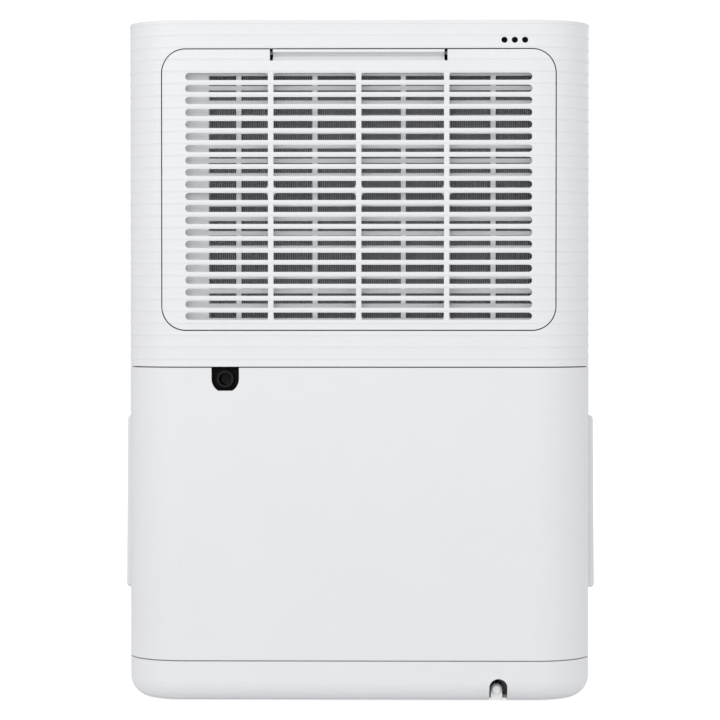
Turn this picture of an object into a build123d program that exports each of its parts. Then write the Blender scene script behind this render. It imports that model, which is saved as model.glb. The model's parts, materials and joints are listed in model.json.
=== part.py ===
from build123d import *
import os
from math import cos, radians, sin

os.makedirs("parts", exist_ok=True)

# Housing: plan size, height and wall of the white mouldings (all sizes in millimetres)
body_width = 342.0
body_depth = 240.0
body_height = 500.5
corner_radius = 42.0
wall = 2.5
lower_inset = 0.1
foot_height = 0.8
foot_socket = 1.2
foot_radius = 9.0
foot_side = 51.0
foot_back = 40.0
base_height = 29.7
base_floor = 2.5
base_edge_radius = 15.0
waist_height = 246.5
lid_edge = 2.75
lid_round = 0.8
lid_line = 0.12
side_split = 36.0

# Clearances
seam = 0.8
slip = 0.2
running = 0.06
lift = 0.3

# Soft horizontal ribs of the upper housing
rib_pitch = 8.78
rib_depth = 0.35
rib_return = 1.3
rib_roll = 3.3
rib_shoulder = 0.18
first_rib = 9.15

# Inlet grille in the rear wall, with its slots, back grid and finger pull
grille_side = 26.5
grille_above_waist = 27.0
grille_below_top = 21.1
grille_corner = 17.6
slot_margin = 18.0
slot_height = 5.3
slot_side = 17.55
slot_bay_extra = 1.85
slot_rib_width = 4.0
slot_pitch = 8.765
slot_below_top = 20.2
grid_depth = 6.15
grid_corner = 3.0
skirt_depth = 10.15
skirt_wall = 2.0
pull_half_width = 65.0
pull_height = 8.2
pull_depth = 5.4
pull_lip = 1.8
pull_end_slot = 2.2
pivot_rise = 16.0
pivot_depth = 11.5
pivot_radius = 2.0
pivot_boss = 4.0
relief_lip = 0.8
relief_depth = 5.0
relief_angle = 40.0

# Air filter behind the grille
filter_thickness = 3.6
filter_border = 10.0
filter_blank = 30.7
filter_drop = 5.0
filter_bar_margin = 5.0
filter_bar_pitch = 10.65
filter_bar_height = 3.2
filter_bar_share = (0.6104, 0.2228, -0.2263, -0.6824)
filter_bar_width = 3.8
mesh_thickness = 0.4
mesh_overlap = 1.0

# Evaporator and condenser coils
coil_left_room = 61.0
coil_right_room = 40.0
coil_above_waist = 21.5
coil_below_grille_top = 7.4
coil_plate = 1.5
evaporator_depth = 24.0
condenser_depth = 26.0
coil_gap = 4.0
evaporator_back = 22.0
fin_pitch = 1.58
fin_thickness = 0.4
fin_depth = 8.0
tube_rows = 8
tube_radius = 4.0
first_tube = 20.0
last_tube = 16.0

# Drip tray under the coils and the drain outlet in the lower rear panel
tray_side = 21.0
tray_back = 18.0
tray_height = 20.0
tray_wall = 2.0
tray_drop = 2.0
drain_side = 73.2
drain_below_waist = 8.6
drain_radius = 10.1
drain_flat = 8.7
spigot_radius = 6.2
spigot_bore = 4.7
spigot_recess = 0.9
cup_depth = 14.0
sump_half_width = 14.0
sump_length = 24.0
spout_y = -10.0
spout_radius = 7.0
spout_drop = 20.0

# Fan
fan_x = -10.0
fan_room = 28.0
fan_blade_depth = 13.0
fan_blades = 30
fan_width = 43.5
scroll_gap = 10.0
scroll_growth = 20.0
scroll_width = 52.0
scroll_below_top = 31.4
scroll_wall = 2.0
tongue_x = -20.0
inlet_step = 10.0
plate_thickness = 2.5
shaft_radius = 4.0
motor_radius = 36.0
motor_length = 48.0

# Air outlet, louver and controls in the top cover
outlet_side = 71.0
outlet_half_depth = 29.2
louver_thickness = 2.4
louver_pin = 0.8
louver_pin_length = 4.0
louver_grooves = 5
louver_groove_pitch = 9.0
louver_groove_width = 1.4
louver_groove_depth = 0.6
louver_groove_end = 12.0
duct_straight = 11.4
guard_height = 6.0
guard_vanes = 9
panel_side = 49.0
panel_depth = 44.0
panel_front = 42.0
panel_thickness = 1.6
panel_ledge = 4.0
button_radius = 8.0
button_gap = 0.25
button_travel = 0.8
button_share = {
    "power_button": -0.69,
    "mode_button": -0.41,
    "down_button": 0.36,
    "up_button": 0.575,
    "timer_button": 0.79,
}
button_drop = 3.0
display_share = 0.46
display_depth = 22.0
display_thickness = 0.8
lamp_radius = 1.2
lamp_rise = 12.0
board_thickness = 1.6
board_post = 9.8
board_post_radius = 3.0
switch_height = 3.5

# Humidity sensor holes, right of the grille as seen from behind
sensor_side = 56.9
sensor_pitch = 7.55
sensor_below_top = 14.7
sensor_hole = 2.25

# Cord notch in the base, with its gland
notch_side = 68.5
notch_width = 13.2
notch_top = 17.8
notch_depth = 24.0
gland_shift = 1.1
gland_height = 9.2
gland_radius = 4.6
gland_nose = 4.2
gland_length = 30.0
gland_block = 13.0

# Water tank, with grips, window, lid and float
tank_gap = 2.0
rim_below_waist = 30.5
bucket_wall = 2.2
deck_wall = 2.0
grip_proud_top = 6.6
grip_proud_bottom = 7.7
grip_bottom = 76.8
grip_below_waist = 38.0
grip_length = 94.0
grip_corner = 3.0
window_side = 79.0
window_width = 14.0
window_bottom = 70.0
window_below_waist = 50.5
lid_thickness = 2.0
fill_left = 40.0
fill_side = 31.0
fill_front = 27.0
fill_rear = 31.0
float_x = -60.0
float_pivot_y = -16.0
float_below_rim = 28.0
float_arm = 58.0
float_pin = 2.0
float_width = 18.0
bulkhead_y = 1.0
bulkhead_thickness = 2.5

# Compressor set in the lower rear
compressor_x = -50.0
compressor_back = 58.0
compressor_radius = 42.0
compressor_height = 157.0
compressor_dome = 18.0
foot_circle = 46.0
stud_radius = 3.0
mount_radius = 8.0
mount_bottom = 16.0
mount_height = 14.0
mount_plate = 3.0
nut_height = 5.0
accumulator_x = 17.0
accumulator_radius = 17.0
accumulator_bottom = 60.0
accumulator_top = 170.0
pipe_bend = 14.0
pipe_run_side = 15.0
suction_below_waist = 32.5
discharge_below_waist = 20.5
drier_side = 33.0
drier_radius = 7.0
drier_above_coil = 34.0
drier_length = 60.0
capillary_radius = 1.6
capacitor_x = 84.0
capacitor_back = 60.0
capacitor_radius = 18.0
capacitor_height = 60.0

# Electronics box behind the front wall
box_side = 101.0
box_width = 100.0
box_above_waist = 53.5
box_height = 120.0
box_depth = 35.0
box_wall = 2.0
standoff = 8.0

# Fasteners of the lower rear panel
screw_side = (31.0, 21.0)
screw_back = (32.0, 70.0)
screw_radius = 2.0
screw_head = 4.0
screw_pad = 7.0
screw_pad_height = 3.5

# Lines that several pieces share
half_width = body_width / 2
half_depth = body_depth / 2
base_top = foot_height + base_height
floor_top = foot_height + base_floor
lower_bottom = base_top + seam
lower_top = waist_height - seam / 2
upper_bottom = waist_height + seam / 2
upper_top = body_height - lid_edge
lower_inner = lower_inset + wall
upper_inner = wall + rib_depth
rear_face = half_depth - upper_inner
panel_rear_face = half_depth - lower_inner
rib_count = 1 + int((upper_top - first_rib - upper_bottom - rib_roll) / rib_pitch)
grille_half_width = half_width - grille_side
grille_bottom = waist_height + grille_above_waist
grille_top = body_height - grille_below_top
grille_height = grille_top - grille_bottom
slot_rows = int((grille_height - slot_margin) / slot_pitch)
slot_half_span = grille_half_width - slot_side
slot_rib_pitch = (slot_half_span + slot_bay_extra) / 2
grille_middle = (grille_top + grille_bottom) / 2
grid_back = rear_face - grid_depth
pivot_y = half_depth - pivot_depth
pivot_z = grille_bottom + pivot_rise
slot_top = grille_top - slot_below_top
slot_middle = slot_top - (slot_rows - 1) * slot_pitch / 2
filter_middle = grille_middle - filter_drop
filter_bars = int((grille_height - seam - 2 - 2 * skirt_wall - filter_bar_margin) / filter_bar_pitch)
filter_bar_x = [share * grille_half_width for share in filter_bar_share]
coil_left = half_width - coil_left_room
coil_right = coil_right_room - half_width
coil_bottom = waist_height + coil_above_waist
coil_top = grille_top - coil_below_grille_top
tube_pitch = (coil_top - coil_bottom - first_tube - last_tube) / (tube_rows - 1)
tray_half_width = half_width - tray_side
tray_rear = half_depth - tray_back
drain_x = half_width - drain_side
drain_height = waist_height - drain_below_waist
tray_bottom = lower_top - tray_drop
tray_floor = tray_bottom + tray_wall
evaporator_rear = half_depth - evaporator_back
evaporator_front = evaporator_rear - evaporator_depth
condenser_rear = evaporator_front - coil_gap
condenser_front = condenser_rear - condenser_depth
evaporator_tube_y = evaporator_rear - fin_depth - (evaporator_depth - fin_depth) / 2
condenser_tube_y = condenser_rear - condenser_depth / 2
coil_end = coil_left + coil_plate
fan_height = (coil_bottom + coil_top) / 2
fan_radius = (coil_top - coil_bottom) / 2 - fan_room
inlet_radius = fan_radius - inlet_step
scroll_start = fan_radius + scroll_gap
scroll_top = upper_top - scroll_below_top
fan_plate_rear = condenser_front - coil_gap + 0.5
scroll_rear = fan_plate_rear - plate_thickness
scroll_front = scroll_rear - scroll_width
bracket_front = scroll_front - scroll_wall
tank_rim = waist_height - rim_below_waist
grip_top = waist_height - grip_below_waist
window_x = window_side - half_width
window_top = waist_height - window_below_waist
float_pivot_height = tank_rim - float_below_rim
bucket_bottom = base_top + lift
bucket_inset = lower_inner + slip
bucket_rear = bulkhead_y - tank_gap
seat_height = mount_bottom + mount_height
compressor_y = half_depth - compressor_back
compressor_bottom = seat_height + mount_plate
compressor_top = compressor_bottom + compressor_height
capacitor_y = half_depth - capacitor_back
pipe_run_x = half_width - pipe_run_side
suction_run = waist_height - suction_below_waist
discharge_run = waist_height - discharge_below_waist
drier_x = half_width - drier_side
drier_bottom = coil_bottom + drier_above_coil
drier_top = drier_bottom + drier_length
box_x = box_side - half_width
box_bottom = waist_height + box_above_waist
screw_spots = [
    (side * (half_width - inward), half_depth - forward)
    for inward, forward in zip(screw_side, screw_back)
    for side in (1, -1)
]
notch_x = notch_side - half_width
gland_x = notch_x + gland_shift
sensor_x = sensor_side - half_width
sensor_height = body_height - sensor_below_top
outlet_half_width = half_width - outlet_side
panel_half_width = half_width - panel_side
panel_y = panel_front - half_depth
button_x = {name: share * panel_half_width for name, share in button_share.items()}
button_y = panel_y - button_drop
lamp_y = panel_y + lamp_rise
display_width = display_share * panel_half_width
panel_seat = body_height - panel_thickness
louver_axis_y = outlet_half_depth - 2.2
louver_axis_z = body_height - 1.5
first_row_z = coil_bottom + first_tube
last_row_z = coil_top - last_tube
capillary_rise = last_row_z - drier_top


def facing_front(y):
    """Upright sketch plane at a given y; positive extrusions run to the front."""
    return Plane.XZ.offset(-y)


def along_y(x, z):
    """Upright plane through (x, z) for turning profiles drawn as (y, radius)."""
    return Plane(origin=(x, 0, z), x_dir=(0, 1, 0), z_dir=(1, 0, 0))


def outline(inset, mode=Mode.ADD):
    """Rounded plan outline of the housing, a given inset inside its widest line."""
    RectangleRounded(body_width - 2 * inset, body_depth - 2 * inset, corner_radius - inset, mode=mode)


def keep_behind(y):
    """Keeps the part of a plan sketch that lies behind a given y."""
    with Locations((0, y + body_depth)):
        Rectangle(2 * body_width, 2 * body_depth, mode=Mode.INTERSECT)


def keep_before(y):
    """Keeps the part of a plan sketch that lies in front of a given y."""
    with Locations((0, y - body_depth)):
        Rectangle(2 * body_width, 2 * body_depth, mode=Mode.INTERSECT)


def ribbed_section(reach):
    """Wall section as (distance, height): ribs up the outside, plain inside."""
    points = [(reach, upper_bottom)]
    for row in reversed(range(rib_count)):
        groove = upper_top - first_rib - row * rib_pitch
        points.append((reach - rib_depth, groove))
        points.append((reach, groove + rib_return))
        points.append((reach - rib_shoulder, groove + rib_roll))
    points.append((reach - lid_line, upper_top))
    points.append((reach - upper_inner, upper_top))
    points.append((reach - upper_inner, upper_bottom))
    return points


def ribbed_shell(side_end):
    """Ribbed wall across the rear, round both corners and along the sides to side_end."""
    corner_x = half_width - corner_radius
    corner_y = half_depth - corner_radius
    with BuildPart() as shell:
        with BuildSketch(Plane.YZ.offset(corner_x)) as rear_section:
            with BuildLine():
                Polyline(ribbed_section(half_depth), close=True)
            make_face()
        extrude(amount=-corner_x)
        revolve(rear_section.sketch, axis=Axis((corner_x, corner_y, 0), (0, 0, -1)), revolution_arc=90)
        with BuildSketch(facing_front(corner_y)):
            with BuildLine():
                Polyline(ribbed_section(half_width), close=True)
            make_face()
        extrude(amount=corner_y - side_end)
        mirror(about=Plane.YZ)
    return shell.part


def tube(points, radius, bend):
    """Round bar along a path of straight runs with rounded bends."""
    with BuildPart() as bar:
        with BuildLine() as path:
            FilletPolyline(*points, radius=bend)
        with BuildSketch(Plane(origin=path.line @ 0, z_dir=path.line % 0)):
            Circle(radius)
        sweep()
    return bar.part


def drain_profile(grow):
    """Outline of the drain recess: round, flat below and open to the waist seam."""
    reach = drain_radius + grow
    with Locations((drain_x, drain_height)):
        Circle(reach)
    with Locations((drain_x, (drain_height + lower_top) / 2)):
        Rectangle(2 * reach, lower_top - drain_height)
    with Locations((drain_x, drain_height - drain_flat - grow - reach)):
        Rectangle(4 * reach, 2 * reach, mode=Mode.SUBTRACT)
    with Locations((drain_x, lower_top + reach)):
        Rectangle(4 * reach, 2 * reach, mode=Mode.SUBTRACT)


def scroll_profile(grow):
    """Spiral casing outline with a straight upward outlet, grown by a given amount."""
    points = []
    for step in range(17):
        turn = 104 + 16 * step
        reach = scroll_start + scroll_growth * step / 16 + grow
        points.append((fan_x + reach * cos(radians(turn)), fan_height + reach * sin(radians(turn))))
    left = fan_x + tongue_x - grow
    points[0] = (left, points[0][1])
    right = points[-1][0]
    with BuildLine() as casing:
        Spline(points)
        Polyline(points[-1], (right, scroll_top), (left, scroll_top), points[0])
    make_face(casing.edges())


# Base tray: deep rounded pan with compressor bosses, cord notch, screw pads and foot sockets
foot_x = half_width - foot_side
foot_y = half_depth - foot_back
with BuildPart() as base_cavity:
    with BuildSketch(Plane.XY.offset(floor_top)):
        outline(lower_inner)
    extrude(amount=base_height)
    fillet(base_cavity.edges().group_by(Axis.Z)[0], radius=base_edge_radius - wall)

with BuildPart() as base_tray:
    with BuildSketch(Plane.XY.offset(foot_height)):
        outline(lower_inset)
    extrude(amount=base_height)
    fillet(base_tray.edges().group_by(Axis.Z)[0], radius=base_edge_radius)
    add(base_cavity.part, mode=Mode.SUBTRACT)
    with BuildSketch(Plane.XY.offset(floor_top)):
        with Locations((compressor_x, compressor_y)):
            with PolarLocations(foot_circle, 3):
                Circle(mount_radius + 1)
    extrude(amount=mount_bottom - floor_top)
    with BuildSketch(Plane.XY.offset(floor_top)):
        with Locations(*screw_spots):
            Circle(screw_pad)
    extrude(amount=screw_pad_height)
    gland_wall_y = half_depth - notch_depth - 10
    with BuildSketch(facing_front(gland_wall_y)):
        with Locations((gland_x, (floor_top + gland_height + gland_radius + 4) / 2)):
            Rectangle(4 * gland_radius, gland_height + gland_radius + 4 - floor_top)
        with Locations((gland_x, gland_height)):
            Circle(gland_radius + running, mode=Mode.SUBTRACT)
    extrude(amount=4)
    with BuildSketch(facing_front(half_depth + 1)):
        with Locations((notch_x, notch_top - notch_width / 2)):
            Circle(notch_width / 2)
        with Locations((notch_x, (notch_top - notch_width / 2) / 2)):
            Rectangle(notch_width, notch_top - notch_width / 2)
    extrude(amount=notch_depth + 1, mode=Mode.SUBTRACT)
    with BuildSketch(Plane.XY.offset(foot_height)):
        with Locations(*screw_spots):
            Circle(screw_head + slip)
    extrude(amount=base_floor + 0.5, mode=Mode.SUBTRACT)
    with BuildSketch(Plane.XY.offset(foot_height)):
        with Locations(*screw_spots):
            Circle(screw_radius + slip)
    extrude(amount=base_height, mode=Mode.SUBTRACT)
    with BuildSketch(Plane.XY.offset(foot_height)):
        with GridLocations(2 * foot_x, 2 * foot_y, 2, 2):
            Circle(foot_radius + slip)
    extrude(amount=foot_socket, mode=Mode.SUBTRACT)

with BuildPart() as rubber_feet:
    with BuildSketch():
        with GridLocations(2 * foot_x, 2 * foot_y, 2, 2):
            Circle(foot_radius)
    extrude(amount=foot_height + foot_socket)

# Cord gland: closed tapered bush held in a wall inside the base, with a block under its nose
with BuildPart() as cord_gland:
    with BuildSketch(along_y(gland_x, gland_height)):
        with BuildLine():
            gland_end = gland_wall_y - 4
            Polyline(
                (gland_end - 4, 0),
                (gland_end - 4, gland_radius + 0.4),
                (gland_end, gland_radius + 0.4),
                (gland_end, gland_radius),
                (gland_wall_y, gland_radius),
                (gland_end + gland_length - 2, gland_nose),
                (gland_end + gland_length, gland_nose - 1.4),
                (gland_end + gland_length, 0),
                close=True,
            )
        make_face()
    revolve(axis=Axis((gland_x, 0, gland_height), (0, 1, 0)))
    block_drop = gland_height - foot_height - 0.6
    with BuildSketch(facing_front(gland_end + gland_length - 2)):
        with Locations((gland_x, gland_height - block_drop / 2)):
            Rectangle(2 * gland_nose, block_drop)
    extrude(amount=gland_block)

# Lower rear panel: smooth, with a tongue into the base and the drain opening
with BuildPart() as rear_panel:
    with BuildSketch(Plane.XY.offset(lower_bottom)):
        outline(lower_inset)
        outline(lower_inner, Mode.SUBTRACT)
        keep_behind(side_split + seam / 2)
    extrude(amount=lower_top - lower_bottom)
    with BuildSketch(Plane.XY.offset(lower_bottom)):
        outline(lower_inner - slip)
        outline(lower_inner + 2, Mode.SUBTRACT)
        keep_behind(side_split + 6)
    extrude(amount=6)
    with BuildSketch(Plane.XY.offset(base_top - 6)):
        outline(lower_inner + slip)
        outline(lower_inner + 2, Mode.SUBTRACT)
        keep_behind(side_split + 6)
    extrude(amount=6 + seam)
    boss_bottom = floor_top + screw_pad_height
    for spot_x, spot_y in screw_spots:
        side = 1 if spot_x > 0 else -1
        with BuildSketch(Plane.XY.offset(lower_bottom)):
            with Locations((spot_x + side * body_width / 4, spot_y)):
                Rectangle(body_width / 2, 2 * screw_head)
            outline(lower_inner - slip, Mode.INTERSECT)
        extrude(amount=18)
        with BuildSketch(Plane.XY.offset(boss_bottom)):
            with Locations((spot_x, spot_y)):
                Circle(screw_head)
        extrude(amount=lower_bottom + 18 - boss_bottom)
        with BuildSketch(Plane.XY.offset(boss_bottom)):
            with Locations((spot_x, spot_y)):
                Circle(screw_radius + running)
        extrude(amount=24, mode=Mode.SUBTRACT)
    with BuildSketch(facing_front(half_depth)):
        drain_profile(0)
    extrude(amount=lower_inner + 1, mode=Mode.SUBTRACT)

with BuildPart() as panel_screws:
    with BuildSketch(Plane.XY.offset(foot_height + 0.4)):
        with Locations(*screw_spots):
            Circle(screw_head)
    extrude(amount=base_floor + 0.1)
    with BuildSketch(Plane.XY.offset(floor_top)):
        with Locations(*screw_spots):
            Circle(screw_radius)
    extrude(amount=20)

# Upper housing: ribbed rear and front halves
rear_ribs = ribbed_shell(side_split + seam / 2)
front_ribs = mirror(ribbed_shell(seam / 2 - side_split), about=Plane.XZ)
opening_half = grille_half_width + seam / 2
boss_inner_x = opening_half + 0.3

# Relief behind the lower edge of the opening, where the grille's bottom swings in
with BuildPart() as swing_relief:
    with BuildSketch(facing_front(half_depth - relief_lip)):
        with Locations((0, grille_middle)):
            RectangleRounded(2 * opening_half, grille_height + seam, grille_corner + seam / 2)
        with Locations((0, grille_bottom)):
            Rectangle(body_width, 2 * grille_corner, mode=Mode.INTERSECT)
    extrude(amount=relief_depth, taper=-relief_angle)
    with BuildSketch(Plane.XY.offset(waist_height)):
        outline(relief_lip)
    extrude(amount=grille_height, mode=Mode.INTERSECT)

with BuildPart() as rear_housing:
    add(rear_ribs)
    with BuildSketch(facing_front(half_depth + 1)):
        with Locations((0, grille_middle)):
            RectangleRounded(2 * opening_half, grille_height + seam, grille_corner + seam / 2)
    extrude(amount=corner_radius, mode=Mode.SUBTRACT)
    add(swing_relief.part, mode=Mode.SUBTRACT)
    with BuildSketch(facing_front(half_depth + 1)):
        with Locations((sensor_x, sensor_height)):
            with GridLocations(sensor_pitch, 0, 3, 1):
                Circle(sensor_hole)
    extrude(amount=upper_inner + 2, mode=Mode.SUBTRACT)
    for side in (1, -1):
        with BuildSketch(facing_front(rear_face - 3.6)):
            with Locations((side * (boss_inner_x + pivot_boss / 2), pivot_z)):
                Rectangle(pivot_boss, 10)
        extrude(amount=rear_face - 3.6 - pivot_y + 4)
    with BuildSketch(Plane.YZ.offset(-boss_inner_x - pivot_boss)):
        with Locations((pivot_y, pivot_z)):
            Circle(pivot_radius + running)
    extrude(amount=2 * (boss_inner_x + pivot_boss), mode=Mode.SUBTRACT)

with BuildPart() as front_housing:
    add(front_ribs)

# Inlet grille: flush ribbed panel with slots, back grid, skirt, finger pull and pivots
panel_half = grille_half_width - seam / 2
panel_top = grille_top - seam / 2
flat_half = half_width - corner_radius
bay_inner = slot_rib_pitch - slot_rib_width
bay_outer_start = slot_rib_pitch + slot_rib_width / 2
bay_outer = slot_half_span - slot_height / 2 - bay_outer_start
mid_rib = slot_top - (slot_rows // 2 - 0.5) * slot_pitch

with BuildPart() as inlet_grille:
    add(rear_ribs)
    with BuildSketch(facing_front(half_depth + 1)):
        with Locations((0, grille_middle)):
            RectangleRounded(2 * panel_half, grille_height - seam, grille_corner - seam / 2)
    extrude(amount=corner_radius, mode=Mode.INTERSECT)
    with BuildSketch(facing_front(half_depth + 1)):
        for side in (1, -1):
            with Locations((side * slot_rib_pitch / 2, slot_middle)):
                with GridLocations(0, slot_pitch, 1, slot_rows):
                    Rectangle(bay_inner, slot_height)
            with Locations((side * (bay_outer_start + bay_outer / 2), slot_middle)):
                with GridLocations(0, slot_pitch, 1, slot_rows):
                    Rectangle(bay_outer, slot_height)
            with Locations((side * (bay_outer_start + bay_outer), slot_middle)):
                with GridLocations(0, slot_pitch, 1, slot_rows):
                    Circle(slot_height / 2)
    extrude(amount=upper_inner + 2, mode=Mode.SUBTRACT)
    grid_top = slot_top + slot_height / 2
    grid_bottom = slot_top - (slot_rows - 1) * slot_pitch - slot_height / 2
    upper_low = mid_rib + (slot_pitch - slot_height) / 2
    lower_high = mid_rib - (slot_pitch - slot_height) / 2
    with BuildSketch(facing_front(rear_face + 0.1)):
        with Locations((0, slot_middle)):
            Rectangle(2 * (slot_half_span + 2.5), grid_top - grid_bottom + 7)
        for low, high in ((upper_low, grid_top), (grid_bottom, lower_high)):
            with Locations((0, (low + high) / 2)):
                with GridLocations(slot_rib_pitch, 0, 2, 1):
                    RectangleRounded(bay_inner, high - low, grid_corner, mode=Mode.SUBTRACT)
            for side in (1, -1):
                edge = slot_half_span - bay_outer_start
                with Locations((side * (bay_outer_start + edge / 2), (low + high) / 2)):
                    RectangleRounded(edge, high - low, grid_corner, mode=Mode.SUBTRACT)
    extrude(amount=grid_depth + 0.1)
    with BuildSketch(facing_front(rear_face + 0.1)):
        with Locations((0, grille_middle)):
            RectangleRounded(2 * panel_half - 2, grille_height - seam - 2, grille_corner - 1.5)
            RectangleRounded(
                2 * (panel_half - 1 - skirt_wall),
                grille_height - seam - 2 - 2 * skirt_wall,
                grille_corner - 1.5 - skirt_wall,
                mode=Mode.SUBTRACT,
            )
            Rectangle(2 * flat_half - 2, grille_height, mode=Mode.INTERSECT)
    extrude(amount=skirt_depth + 0.1)
    with BuildSketch(facing_front(rear_face - 2)):
        with Locations((0, grille_middle)):
            RectangleRounded(2 * panel_half - 2, grille_height - seam - 2, grille_corner - 1.5)
            RectangleRounded(
                2 * (panel_half - 1 - skirt_wall),
                grille_height - seam - 2 - 2 * skirt_wall,
                grille_corner - 1.5 - skirt_wall,
                mode=Mode.SUBTRACT,
            )
    extrude(amount=skirt_depth - 2)
    with BuildSketch(facing_front(rear_face + 0.1)):
        with Locations((0, panel_top - 1 - pull_height / 2)):
            Rectangle(2 * pull_half_width + 6, pull_height)
    extrude(amount=grid_depth + 0.1)
    pull_bottom = panel_top - pull_height
    end_slot_x = pull_half_width - pull_end_slot / 2
    with BuildSketch(Plane.YZ.offset(-pull_half_width + pull_end_slot)):
        with BuildLine():
            start = (half_depth + 1, pull_bottom)
            deep = (half_depth - pull_depth, pull_bottom + pull_height * 0.52)
            under = (half_depth - pull_depth, panel_top - pull_lip - 0.6)
            lip = (half_depth + 1, panel_top - pull_lip)
            ThreePointArc((half_depth, pull_bottom), (half_depth - 3, pull_bottom + 1.9), deep)
            Polyline(deep, under, lip, start, (half_depth, pull_bottom))
        make_face()
    extrude(amount=2 * (pull_half_width - pull_end_slot), mode=Mode.SUBTRACT)
    with BuildSketch(facing_front(half_depth + 1)):
        for side in (1, -1):
            with Locations((side * end_slot_x, pull_bottom + pull_height / 2 + 0.25)):
                Rectangle(pull_end_slot, pull_height + 0.5)
    extrude(amount=half_depth + 1 - grid_back + 0.1, mode=Mode.SUBTRACT)
    for side in (1, -1):
        with BuildSketch(Plane.YZ.offset(side * (panel_half - 1 - skirt_wall / 2))):
            with Locations((pivot_y, pivot_z)):
                Circle(pivot_radius)
        extrude(amount=side * (boss_inner_x + pivot_boss - panel_half + 1 + skirt_wall / 2))

# Air filter: moulded frame of bars against the back grid, notched behind the pull's end slots,
# with the mesh on its inner side
filter_half = panel_half - 1 - skirt_wall - slip
filter_height = grille_height - seam - 2 - 2 * skirt_wall - 2 * slip
filter_corner = grille_corner - 1.5 - skirt_wall
with BuildPart() as filter_frame:
    with BuildSketch(facing_front(grid_back)):
        with Locations((0, grille_middle)):
            RectangleRounded(2 * filter_half, filter_height, filter_corner)
        open_width = 2 * filter_half - filter_blank - filter_border
        open_height = (filter_bars - 1) * filter_bar_pitch + filter_bar_height
        with Locations(((filter_border - filter_blank) / 2, filter_middle)):
            Rectangle(open_width, open_height, mode=Mode.SUBTRACT)
        with Locations(((filter_border - filter_blank) / 2, filter_middle)):
            with GridLocations(0, filter_bar_pitch, 1, filter_bars):
                Rectangle(open_width + 1, filter_bar_height)
        for bar_x in filter_bar_x:
            with Locations((bar_x, filter_middle)):
                Rectangle(filter_bar_width, open_height + 1)
        for side in (1, -1):
            with Locations((side * end_slot_x, pull_bottom + pull_height / 2)):
                Rectangle(pull_end_slot + 3, pull_height + 2, mode=Mode.SUBTRACT)
    extrude(amount=filter_thickness)

with BuildPart() as filter_mesh:
    with BuildSketch(facing_front(grid_back - filter_thickness)):
        with Locations(((filter_border - filter_blank) / 2, filter_middle)):
            Rectangle(open_width + 2 * mesh_overlap, open_height + 2 * mesh_overlap)
    extrude(amount=mesh_thickness)


# Coils: fin packs between end plates, with return bends outside the plates
def fin_pack(rear, depth):
    """Block with fine upright fins on its rear side, filling the space between end plates."""
    count = int((coil_left - coil_right - fin_thickness) / fin_pitch)
    root = rear - fin_depth
    points = [(coil_right, rear - depth), (coil_left, rear - depth), (coil_left, root)]
    for index in range(count):
        edge = coil_left - 0.5 - index * fin_pitch
        points.extend(((edge, root), (edge, rear)))
        points.extend(((edge - fin_thickness, rear), (edge - fin_thickness, root)))
    points.append((coil_right, root))
    with BuildPart() as pack:
        with BuildSketch(Plane.XY.offset(coil_bottom)):
            with BuildLine():
                Polyline(points, close=True)
            make_face()
        extrude(amount=coil_top - coil_bottom)
    return pack.part


def return_bends(tube_y):
    """Half rings that join neighbouring tube rows, alternately on both ends."""
    with BuildPart() as bends:
        for row in range(tube_rows - 1):
            side = -1 if row % 2 == 0 else 1
            x = coil_end if side > 0 else coil_right - coil_plate
            low = first_row_z + row * tube_pitch
            with BuildSketch(Plane(origin=(x, tube_y, low), x_dir=(0, 1, 0), z_dir=(side, 0, 0))):
                Circle(tube_radius)
            middle = (x, tube_y, low + tube_pitch / 2)
            revolve(axis=Axis(middle, (0, -side, 0)), revolution_arc=180)
    return bends.part


with BuildPart() as evaporator_fins:
    add(fin_pack(evaporator_rear, evaporator_depth))
with BuildPart() as condenser_fins:
    add(fin_pack(condenser_rear, condenser_depth))
with BuildPart() as evaporator_bends:
    add(return_bends(evaporator_tube_y))
with BuildPart() as condenser_bends:
    add(return_bends(condenser_tube_y))
with BuildPart() as coil_plates:
    for plate_x in (coil_left, coil_right - coil_plate):
        with BuildSketch(Plane.YZ.offset(plate_x)):
            with Locations(((condenser_front + evaporator_rear) / 2, (tray_floor + coil_top + 2) / 2)):
                Rectangle(evaporator_rear - condenser_front + 2, coil_top + 2 - tray_floor)
        extrude(amount=coil_plate)

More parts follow.
